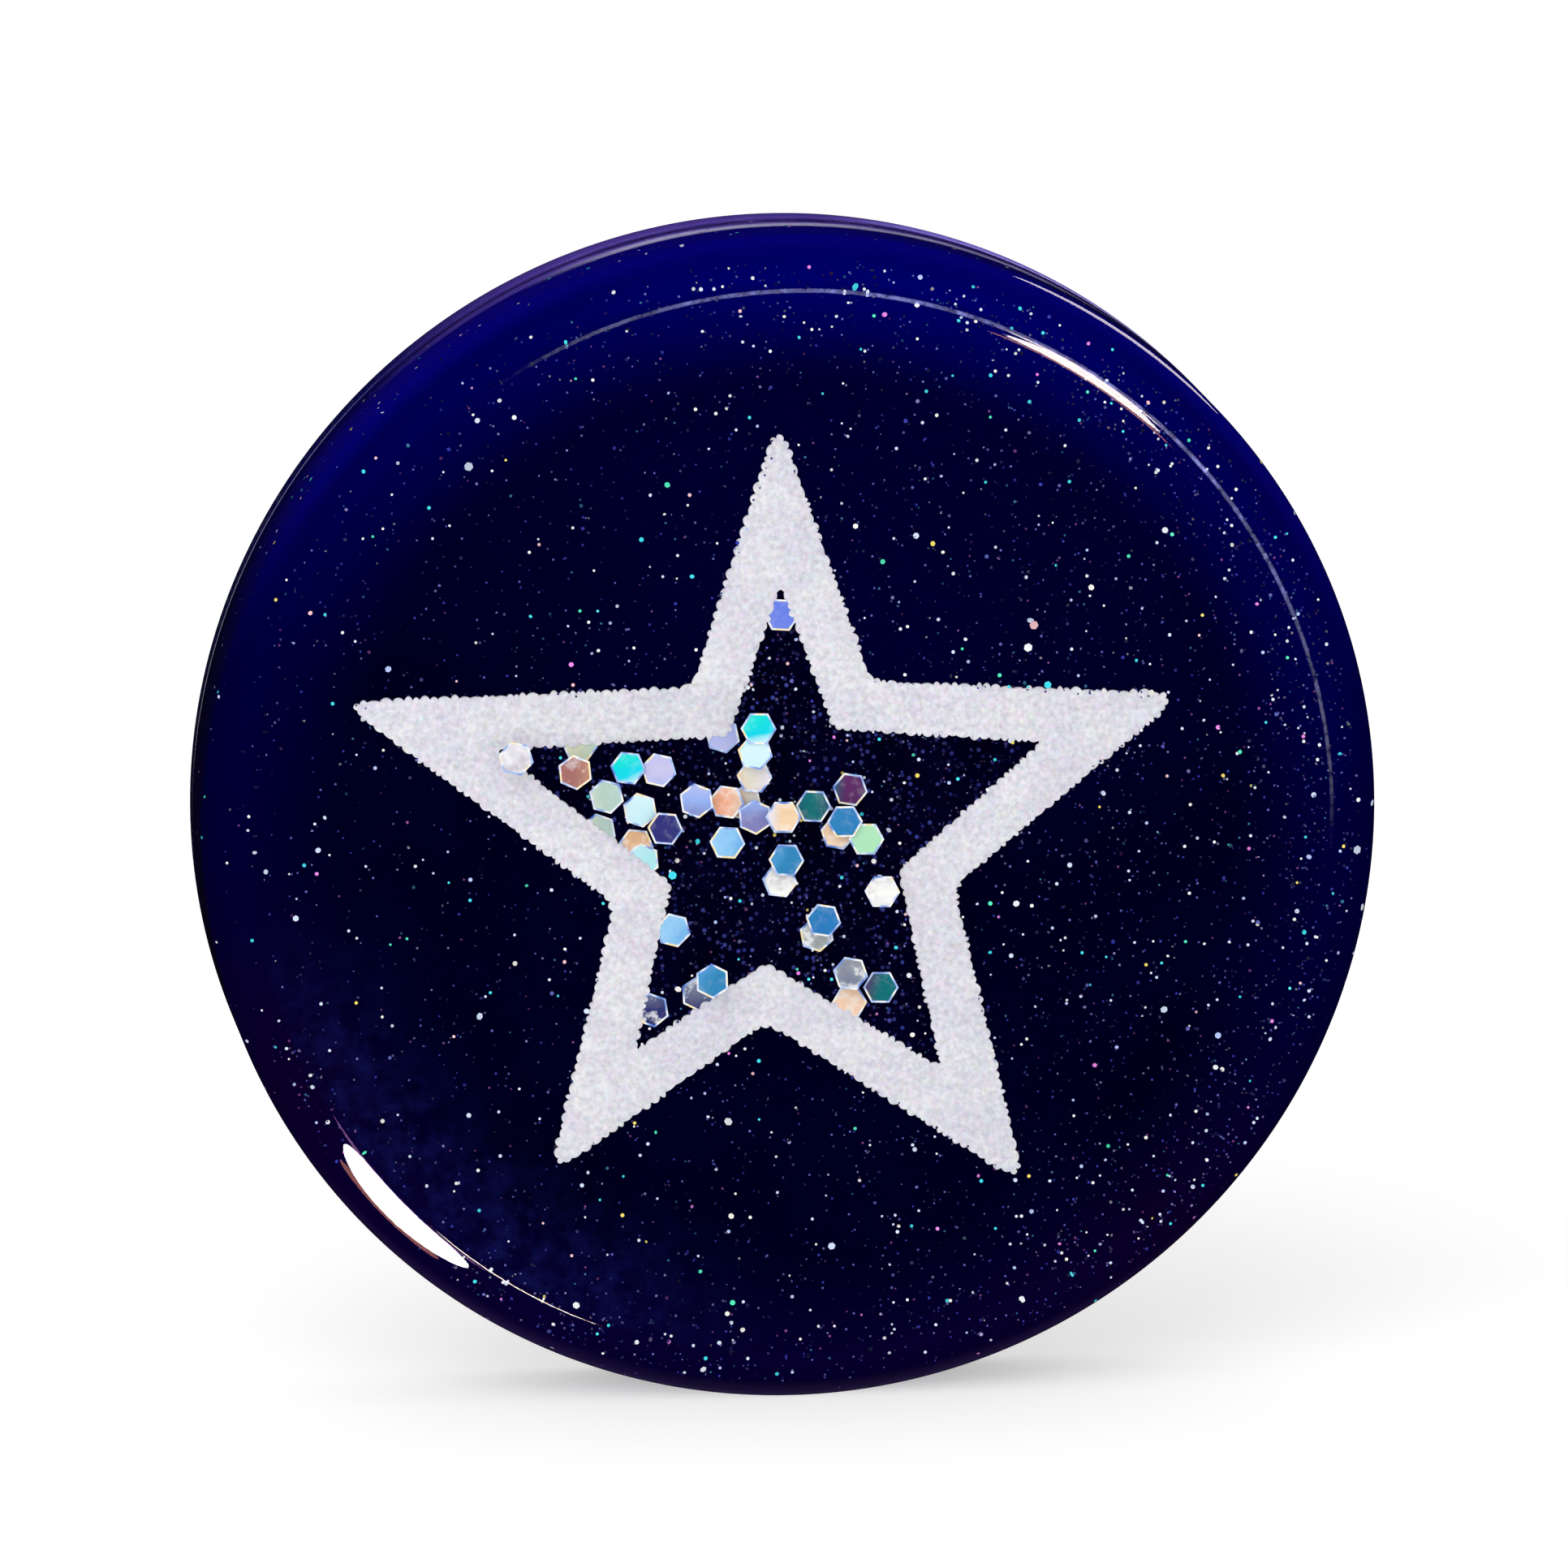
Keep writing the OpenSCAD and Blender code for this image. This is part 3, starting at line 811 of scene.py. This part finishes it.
def make_all_sequins(inner):
    """The seven groups. Each film's direction and stops give its sequins their own shades."""
    rng = random.Random(5)
    rim = sequin_rim()
    films = {
        "cyan": ((-0.3, 1.0), [
            (0.4, (0.45, 0.85, 0.9)), (3.0, (0.72, 0.95, 1.0)), (3.4, (0.0, 0.70, 0.86)),
            (3.9, (0.0, 0.78, 0.72))]),
        "blue": ((-0.3, 0.15), [
            (-0.8, (0.02, 0.20, 0.52)), (0.0, (0.03, 0.25, 0.50)), (0.35, (0.12, 0.40, 0.80)),
            (0.7, (0.30, 0.62, 0.92))]),
        "lavender": ((0.0, 1.0), [
            (0.2, (0.22, 0.22, 0.50)), (0.9, (0.30, 0.45, 0.88)), (1.9, (0.62, 0.58, 0.85)),
            (3.2, (0.40, 0.48, 0.86)), (6.8, (0.14, 0.22, 0.80))]),
        "mint": ((1.0, 0.0), [
            (-7.0, (0.72, 0.78, 0.55)), (-6.2, (0.48, 0.64, 0.56)), (-3.0, (0.40, 0.72, 0.66)),
            (2.3, (0.44, 0.82, 0.50))]),
        "peach": ((1.0, 0.0), [
            (-7.2, (0.40, 0.16, 0.14)), (-5.1, (0.86, 0.52, 0.28)), (-2.2, (0.92, 0.42, 0.26)),
            (-1.5, (0.80, 0.74, 0.60)), (-0.9, (0.84, 0.80, 0.86)), (-0.4, (0.94, 0.68, 0.42)),
            (1.8, (0.92, 0.64, 0.44))]),
        "clear": ((0.0, 1.0), [
            (-6.0, (0.02, 0.03, 0.16)), (-5.3, (0.20, 0.24, 0.34)), (-3.6, (0.42, 0.46, 0.44)),
            (-2.2, (1.0, 1.0, 0.96)), (-1.8, (0.74, 0.72, 0.70)), (2.4, (0.78, 0.76, 0.80))]),
        "dark": ((1.0, 0.0), [
            (-4.2, (0.03, 0.03, 0.20)), (-1.0, (0.02, 0.06, 0.22)), (0.6, (0.0, 0.17, 0.18)),
            (1.2, (0.02, 0.10, 0.16)), (1.7, (0.12, 0.02, 0.13)), (2.2, (0.10, 0.03, 0.14)),
            (2.8, (0.0, 0.16, 0.18))]),
    }
    tucked = []
    for colour, (along, stops) in films.items():
        # How strongly each film carries its painted highlights and painted shade.
        highlight_and_shade = {"clear": 0.7, "peach": 0.35}.get(colour, 0.07)
        film = sequin_film("sequin_" + colour, along, stops, highlight_and_shade)
        node, slot = "sequins_" + colour, "sequin_" + colour
        tucked += make_sequins(colour + "_sequins", node, film, rim, rng, inner)
    return tucked


def flake_size(rng, usual, widest):
    """Most flakes are near the usual radius, and a few are nearly the widest."""
    return usual * rng.uniform(0.75, 1.35) + (widest - usual) * rng.random() ** 16


def flake_share(x, z, outer, inner):
    """How thickly flakes lie at a point of the face: more at the right, by the rim and in the star."""
    right = 0.5 + 0.5 * x / RADIUS
    away = math.hypot(x, z)
    share = 0.2 + 0.45 * right ** 1.5
    if away > FLAT_R - 1.5 * MM:
        share += 0.3 * right
    turn = math.degrees(math.atan2(z, x))
    beside_glint = -158 < turn < -142 or -128 < turn < -95
    if away > FLAT_R - 0.25 * MM and beside_glint:
        share += 0.6
    if abs(away - FLAT_R + 0.15 * MM) < 0.25 * MM and 0 < turn < 85:
        share += 0.5
    if inside(inner, x, z):
        return share + 0.3
    return 0 if inside(outer, x, z) else share


def add_face_flakes(made, count, usual, widest, rng, outer, inner, tucked):
    """Flakes in the clear coat over the face and the shoulder, none in front of a tucked sequin."""
    placed = 0
    while placed < count:
        r = (FLAT_R + 0.9 * MM) * math.sqrt(rng.random())
        turn = rng.uniform(0, 2 * math.pi)
        x, z = r * math.cos(turn), r * math.sin(turn)
        if rng.random() > flake_share(x, z, outer, inner):
            continue
        if any(math.hypot(x - centre.x, z - centre.z) < 0.6 * MM for centre in tucked):
            continue
        deepest = CORE_Y - 0.12 * MM
        highest = CORE_Y - 0.3 * MM if inside(inner, x, z) else FRONT_Y + 0.15 * MM
        if r > FLAT_R:
            highest += SHOULDER_R - math.sqrt(SHOULDER_R ** 2 - (r - FLAT_R) ** 2)
            deepest -= 0.1 * MM
        y = highest + (deepest - highest) * rng.random() ** 0.8
        lean = leaning(rng.gauss(0, 16), rng.gauss(0, 16))
        spin = Matrix.Rotation(rng.uniform(0, math.pi), 3, "Y")
        add_hexagon(made, Vector((x, y, z)), flake_size(rng, usual, widest), 0.012 * MM, lean @ spin)
        placed += 1


def add_wall_flakes(made, count, usual, widest, rng):
    """Flakes between the clear wall and the blue core, facing outwards."""
    for _ in range(count):
        r = rng.uniform(CORE_R + 0.15 * MM, RADIUS - 0.15 * MM)
        y = rng.uniform(FRONT_Y + SHOULDER_R, BASE_Y - 0.3 * MM)
        turn = rng.uniform(0, 2 * math.pi)
        place = Vector((r * math.cos(turn), y, r * math.sin(turn)))
        stray = Vector((rng.gauss(0, 0.2), rng.gauss(0, 0.2), rng.gauss(0, 0.2)))
        facing = (Vector((place.x, 0, place.z)).normalized() + stray).normalized()
        lean = Vector((0, -1, 0)).rotation_difference(facing).to_matrix()
        add_hexagon(made, place, flake_size(rng, usual, widest), 0.012 * MM, lean)


def make_all_flakes(outer, inner, tucked):
    """Loose glitter. The finest has no CAD node, because CAD holds only the larger flakes."""
    rng = random.Random(23)
    dust = flake_film("glitter_dust", [
        (0.0, (0.05, 0.07, 0.75)), (0.4, (0.2, 0.24, 0.9)), (0.7, (0.35, 0.32, 0.75)),
        (0.85, (0.05, 0.3, 0.6)), (0.93, (0.45, 0.1, 0.5))], 0.02, 0.6, 2.0)
    silver = flake_film("glitter_silver", [
        (0.0, (0.7, 0.8, 1.0)), (0.45, (0.92, 0.95, 1.0)), (0.75, (1.0, 0.97, 0.9)),
        (0.9, (0.5, 0.6, 1.0))], 0.7, 1.5)
    colour = flake_film("glitter_colour", [
        (0.0, (0.05, 0.8, 0.95)), (0.4, (0.08, 0.9, 0.55)), (0.6, (1.0, 0.8, 0.15)),
        (0.72, (0.9, 0.25, 0.85)), (0.85, (1.0, 0.6, 0.65))], 0.7, 1.4)
    # name, film, slot, how many on the face and in the wall, usual and widest radius in mm, nodes
    groups = [
        ("dust_flakes", dust, "glitter_silver", 5600, 700, 0.032, 0.065, []),
        ("silver_flakes", silver, "glitter_silver", 620, 110, 0.046, 0.135, ["glitter_silver"]),
        ("colour_flakes", colour, "glitter_colour", 200, 60, 0.052, 0.15, ["glitter_colour"]),
    ]
    for name, film, slot, on_face, on_wall, usual, widest, nodes in groups:
        made = bmesh.new()
        add_face_flakes(made, on_face, usual * MM, widest * MM, rng, outer, inner, tucked)
        add_wall_flakes(made, on_wall, usual * MM, widest * MM, rng)
        piece = from_bmesh(name, made, [film], 10)
        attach(piece, "badge")
        if nodes:
            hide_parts(*nodes)


# ---- Bar pin ----

def refined(name, node, body, material, bevel):
    """A piece with a CAD node's shape, whose sharp edges are broken by a small bevel."""
    piece = from_bmesh(name, node_shape(node, 0.5), [material])
    worn = piece.modifiers.new("worn", "BEVEL")
    worn.width = bevel
    worn.segments = 2
    worn.limit_method = "ANGLE"
    worn.angle_limit = math.radians(40)
    worn.use_clamp_overlap = True
    bpy.context.view_layer.update()
    evaluated = piece.evaluated_get(bpy.context.evaluated_depsgraph_get())
    piece.data = bpy.data.meshes.new_from_object(evaluated)
    piece.modifiers.clear()
    smooth(piece.data, 30)
    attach(piece, body)
    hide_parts(node)
    return piece


def make_glue():
    """The epoxy bed: a wavy run-out with a hollow fillet up to the metal strip, and a dome in each hole."""
    rng = random.Random(3)
    phases = [rng.uniform(0, 2 * math.pi) for _ in range(4)]
    middle = (bar_low + bar_high) / 2
    end_r = (bar_high.z - bar_low.z) / 2
    straight = (bar_high.x - bar_low.x) / 2 - end_r
    margin = bar_low.x - glue_low.x
    steps, rings = 220, 7
    made = bmesh.new()

    def outline(turn):
        """A point of the strip's edge at a turn, and its outward normal."""
        shift = straight if math.cos(turn) > 0 else -straight
        reach = min(1.0, abs(math.cos(turn)) * 6)
        normal = Vector((math.cos(turn), 0, math.sin(turn)))
        return Vector((middle.x + shift * reach, 0, middle.z)) + normal * end_r, normal

    levels = []
    for k in range(rings + 1):
        share = k / rings
        height = (bar_low.y - BACK_Y + 0.15 * MM) * share ** 1.6
        level = []
        for i in range(steps):
            turn = 2 * math.pi * i / steps
            place, normal = outline(turn)
            wave = 0.62 + 0.14 * math.sin(3 * turn + phases[0]) + 0.1 * math.sin(7 * turn + phases[1])
            wave += 0.06 * math.sin(13 * turn + phases[2]) + 0.04 * math.sin(23 * turn + phases[3])
            out = margin * wave * (1 - share) ** 1.4 - 0.03 * MM
            lift = Vector((0, BACK_Y - 0.07 * MM + height, 0))
            level.append(made.verts.new(place + normal * out + lift))
        levels.append(level)
    for low, high in zip(levels, levels[1:]):
        for i in range(steps):
            made.faces.new((low[i], low[i - 1], high[i - 1], high[i]))
    made.faces.new(levels[0])
    inner = [made.verts.new(Vector((v.co.x, bar_low.y - 0.01 * MM, v.co.z))) for v in levels[-1]]
    for i in range(steps):
        inwards = (Vector((middle.x, inner[i].co.y, middle.z)) - inner[i].co).normalized()
        inner[i].co += inwards * 0.2 * MM
        made.faces.new((levels[-1][i], levels[-1][i - 1], inner[i - 1], inner[i]))
    made.faces.new(inner)
    glue = epoxy()
    piece = from_bmesh("epoxy_bed", made, [glue], 50)
    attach(piece, "badge")
    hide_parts("adhesive_bed")
    sides = {"left": -1, "right": 1}
    return [piece, *(make_plug("epoxy_plug_" + name, sides[name], middle, glue) for name in sides)]


def make_plug(name, side, middle, glue):
    """Epoxy that came up through a hole of the strip and headed over."""
    hole_x, hole_r, head_r, head_h = 4 * MM, 1 * MM, 1.3 * MM, 0.225 * MM
    stem_r = hole_r * 0.98
    turns = [math.pi / 2 * i / 10 for i in range(11)]
    dome = [
        (head_r * math.cos(t), bar_high.y + 0.01 * MM + head_h * math.sin(t) ** 0.8)
        for t in turns
    ]
    top = (0, dome[-1][1])
    profile = [(0, bar_low.y), (stem_r, bar_low.y), (stem_r, bar_high.y), *dome[:-1], top]
    piece = revolve(name, profile, [glue], 48)
    for v in piece.data.vertices:
        away = math.hypot(v.co.x, v.co.z)
        turn = math.atan2(v.co.z, v.co.x)
        if away > hole_r and v.co.y > bar_high.y - 0.001 * MM:
            grow = 1 - 0.07 * (1 + math.sin(2 * turn + side)) - 0.03 * math.sin(5 * turn + 2 * side)
            v.co.x *= grow
            v.co.z *= grow
    piece.data.transform(Matrix.Translation((middle.x + side * hole_x, 0, middle.z)))
    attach(piece, "badge")
    return piece


def make_bar_pin():
    """The metal pieces, each with its own CAD node, on the body that its node rides on."""
    strip = worn_metal("nickel_strip", (0.80, 0.78, 0.74), (0.62, 0.60, 0.57), 0.22, 0.36, (0.25, 3, 3))
    wire = worn_metal("pin_wire", (0.86, 0.86, 0.86), (0.70, 0.70, 0.71), 0.10, 0.22, (0.2, 4, 4))
    rivet = worn_metal("rivet_steel", (0.60, 0.59, 0.58), (0.45, 0.44, 0.43), 0.25, 0.42, (2, 2, 0.5))
    rotor = worn_metal("rotor_nickel", (0.74, 0.73, 0.72), (0.58, 0.57, 0.56), 0.18, 0.32, (3, 0.4, 3))
    return [
        refined("metal_strip", "pin_bar", "badge", strip, 0.09 * MM),
        refined("hinge_bracket", "hinge_joint", "badge", strip, 0.07 * MM),
        refined("rivet", "hinge_rivet", "badge", rivet, 0.06 * MM),
        refined("catch_body", "catch_housing", "badge", strip, 0.06 * MM),
        refined("pin", "pin_stem", "pin", wire, 0.05 * MM),
        refined("catch_sleeve", "catch_rotor", "catch", rotor, 0.05 * MM),
    ]


# ---- Camera, light and floor ----

VIEW_AZIMUTH = -6.9
VIEW_ELEVATION = 10.5
VIEW_DISTANCE = 0.45
FRAME_WIDTH = 50.6 * MM  # the width that the picture takes in at the aim's distance
AIM = Vector((0.0, -3.2 * MM, 0.8 * MM))

# Turns round the disc, in degrees from +X towards +Z, of the slopes that mirror the glint lamps
LOW_LEFT = 222.5
RIDGE = 237.5
TOP_RIGHT = 56
GLINT_DISTANCE = 0.6


def view_direction():
    """From the badge to the camera."""
    a, e = math.radians(VIEW_AZIMUTH), math.radians(VIEW_ELEVATION)
    return Vector((math.sin(a) * math.cos(e), -math.cos(a) * math.cos(e), math.sin(e)))


def make_camera():
    """A plain camera at the photograph's angle, with no shift or depth of field."""
    data = bpy.data.cameras.new("camera")
    data.sensor_width = 36
    data.lens = data.sensor_width * VIEW_DISTANCE / FRAME_WIDTH
    data.clip_start = 0.01
    data.clip_end = 20
    camera = new_object("camera", data)
    camera.location = AIM + view_direction() * VIEW_DISTANCE
    camera.rotation_mode = "QUATERNION"
    camera.rotation_quaternion = (-view_direction()).to_track_quat("-Z", "Y")
    scene.camera = camera


def area_lamp(name, shape, place, rotation, width, height, radiance, tint):
    """A lamp whose radiance doesn't depend on its size."""
    data = bpy.data.lights.new(name, "AREA")
    data.shape = shape
    data.size = width
    data.size_y = height
    data.energy = radiance * math.pi * width * height
    data.color = tint
    lamp = new_object(name, data)
    lamp.location = place
    lamp.rotation_mode = "QUATERNION"
    lamp.rotation_quaternion = rotation
    return lamp


def softbox(name, towards_light, distance, width, height, radiance):
    """A rectangular white lamp that faces the badge from a direction."""
    away = Vector(towards_light).normalized()
    rotation = (-away).to_track_quat("-Z", "Y")
    return area_lamp(name, "RECTANGLE", away * distance, rotation, width, height, radiance, (1, 1, 1))


def lobe(tree, ray, aim, inner, outer, strength):
    """Brightness within some degrees of a direction, fading out by some more."""
    facing = dot(tree, ray, tuple(Vector(aim).normalized()))
    ends = math.cos(math.radians(outer)), math.cos(math.radians(inner))
    return spread(tree, facing, *ends, 0.0, strength, "SMOOTHSTEP")


def make_world():
    """A white surround for the camera and for matt surfaces, and a dark studio for reflections."""
    world = bpy.data.worlds.new("studio")
    scene.world = world
    world.use_nodes = True
    tree = world.node_tree
    tree.nodes.clear()
    path = add(tree, "LightPath").outputs
    ray = add(tree, "TexCoord").outputs["Generated"]
    glow = maths(tree, "ADD", lobe(tree, ray, (0, 0.45, -0.9), 10, 40, 0.12), 0.004)
    matt = {"Factor": path["Is Diffuse Ray"], "A": glow, "B": 0.62}
    strength = add(tree, "Mix", matt, data_type="FLOAT")
    seen = {"Factor": path["Is Camera Ray"], "A": strength.outputs[0], "B": 1.0}
    strength = add(tree, "Mix", seen, data_type="FLOAT")
    plain = maths(tree, "MAXIMUM", path["Is Camera Ray"], path["Is Diffuse Ray"])
    tint = mix(tree, plain, (0.55, 0.35, 1.0), (1.0, 1.0, 1.0))
    back = add(tree, "Background", {"Color": tint, "Strength": strength.outputs[0]})
    out = add(tree, "OutputWorld")
    tree.links.new(back.outputs[0], out.inputs["Surface"])


def make_floor():
    """A plain pale floor that the badge stands on."""
    size = 3.0
    low = -RADIUS
    mesh = bpy.data.meshes.new("floor")
    corners = [(-size, -size, low), (size, -size, low), (size, size, low), (-size, size, low)]
    mesh.from_pydata(corners, [], [(0, 1, 2, 3)])
    made, _, _ = new_material(
        "floor", Base_Color=(0.95, 0.95, 0.95, 1), Roughness=0.9, Specular_IOR_Level=0.0,
        Emission_Color=(1, 1, 1, 1), Emission_Strength=0.35)
    floor = add_object("floor", mesh, [made])
    floor.visible_glossy = False
    floor.visible_transmission = False
    floor.visible_shadow = False


def glint(turn, tilt):
    """Where a lamp has to be for a normal that leans by tilt towards turn to mirror it to the camera."""
    t, lean = math.radians(turn), math.radians(tilt)
    normal = Vector((math.sin(lean) * math.cos(t), -math.cos(lean), math.sin(lean) * math.sin(t)))
    eye = view_direction()
    return 2 * normal.dot(eye) * normal - eye


def only_for(lamp, pieces):
    """The lamp lights these pieces and nothing else."""
    group = bpy.data.collections.new(lamp.name + "_lights")
    for piece in pieces:
        group.objects.link(piece)
    lamp.light_linking.receiver_collection = group


def strip_lamp(name, turn, tilts, width, radiance, tint=(1, 1, 1)):
    """A long oval lamp that shows only as a glint, on normals between these two tilts."""
    start, end = (glint(turn, tilt).normalized() * GLINT_DISTANCE for tilt in tilts)
    middle, along = (start + end) / 2, end - start
    facing = (-middle).normalized()
    up = (along - facing * along.dot(facing)).normalized()
    side = up.cross(-facing)
    rotation = Matrix((side, up, -facing)).transposed().to_quaternion()
    lamp = area_lamp(name, "ELLIPSE", middle, rotation, width, along.length, radiance, tint)
    lamp.visible_diffuse = False
    return lamp


def make_lights(shell, rear_pieces):
    """Lamps for the glints on the shoulder and the ridge, a soft key, and soft lamps for the back."""
    glints = [
        strip_lamp("glint_low_left", LOW_LEFT, (14, 32), 0.125, 30),
        strip_lamp("glint_low_inner", LOW_LEFT, (12, 17), 0.12, 4, (0.7, 0.3, 0.8)),
        strip_lamp("glint_low_outer", LOW_LEFT, (27, 34.5), 0.13, 4, (1.0, 0.35, 0.25)),
        strip_lamp("glint_ridge", RIDGE, (6.8, 10.6), 0.06, 20, (1.0, 0.92, 0.82)),
        strip_lamp("glint_ridge_inner", RIDGE, (5.2, 7.8), 0.055, 5, (1.0, 0.42, 0.25)),
        strip_lamp("glint_top_right", TOP_RIGHT, (66, 75), 0.2, 3, (1.0, 0.88, 0.9)),
    ]
    for lamp in glints:
        only_for(lamp, [shell])
    key = softbox("key", (-0.4, -0.7, 0.6), 0.7, 0.7, 0.7, 1.3)
    key.visible_glossy = False
    key.visible_transmission = False
    rear = [
        softbox("rear_left", (0.75, 0.75, 0.45), 0.4, 0.22, 0.3, 3.2),
        softbox("rear_right", (-0.85, 0.6, 0.3), 0.4, 0.2, 0.3, 2.6),
        softbox("above", (0.0, -0.1, 1.0), 0.35, 0.3, 0.12, 3.0),
    ]
    for lamp in rear:
        only_for(lamp, rear_pieces)
    for lamp in [*glints, key, *rear]:
        lamp.visible_camera = False


scene.view_settings.view_transform = "Standard"
make_camera()
make_world()
make_floor()
clear = make_shell()
make_core()
back = make_base()
star_outer, star_inner = make_star()
tucked_sequins = make_all_sequins(star_inner)
make_all_flakes(star_outer, star_inner, tucked_sequins)
make_lights(clear, [back, *make_glue(), *make_bar_pin()])
